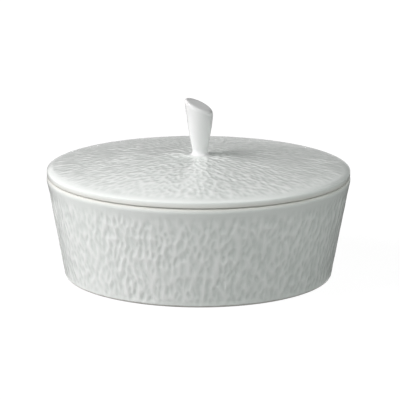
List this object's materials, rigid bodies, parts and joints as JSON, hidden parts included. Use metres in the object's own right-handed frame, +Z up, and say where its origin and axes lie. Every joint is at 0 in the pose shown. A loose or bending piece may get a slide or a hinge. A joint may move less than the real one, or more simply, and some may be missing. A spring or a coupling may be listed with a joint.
{
  "type": "sugar bowl with lid",
  "caption": "Round flared porcelain sugar bowl with a domed lift-off lid, an inside locating flange and a stem-shaped knob with a slanted top.",
  "frame": {"origin": "centre of the foot, on the table", "axes": "+Z up along the axis of the bowl; -Y faces the viewer; the knob's slanted top is high on the -X side"},
  "size_m": [0.12, 0.12, 0.0705],
  "materials": {
    "bowl_glaze": "glossy white glaze over a bark-like relief, smooth on the rim band and inside, bare on the foot ring",
    "lid_glaze": "glossy white glaze over a radial relief, smooth on the shoulder and underneath, bare on the seat",
    "knob_glaze": "smooth glossy white glaze"
  },
  "bodies": {
    "bowl": {"bowl": "bowl_glaze"},
    "lid": {"lid": "lid_glaze", "lid_knob": "knob_glaze"}
  },
  "joints": [
    {"name": "lid_lift", "type": "slide", "parent": "bowl", "child": "lid", "axis": [0, 0, 1], "range_m": [0, 0.08]}
  ]
}
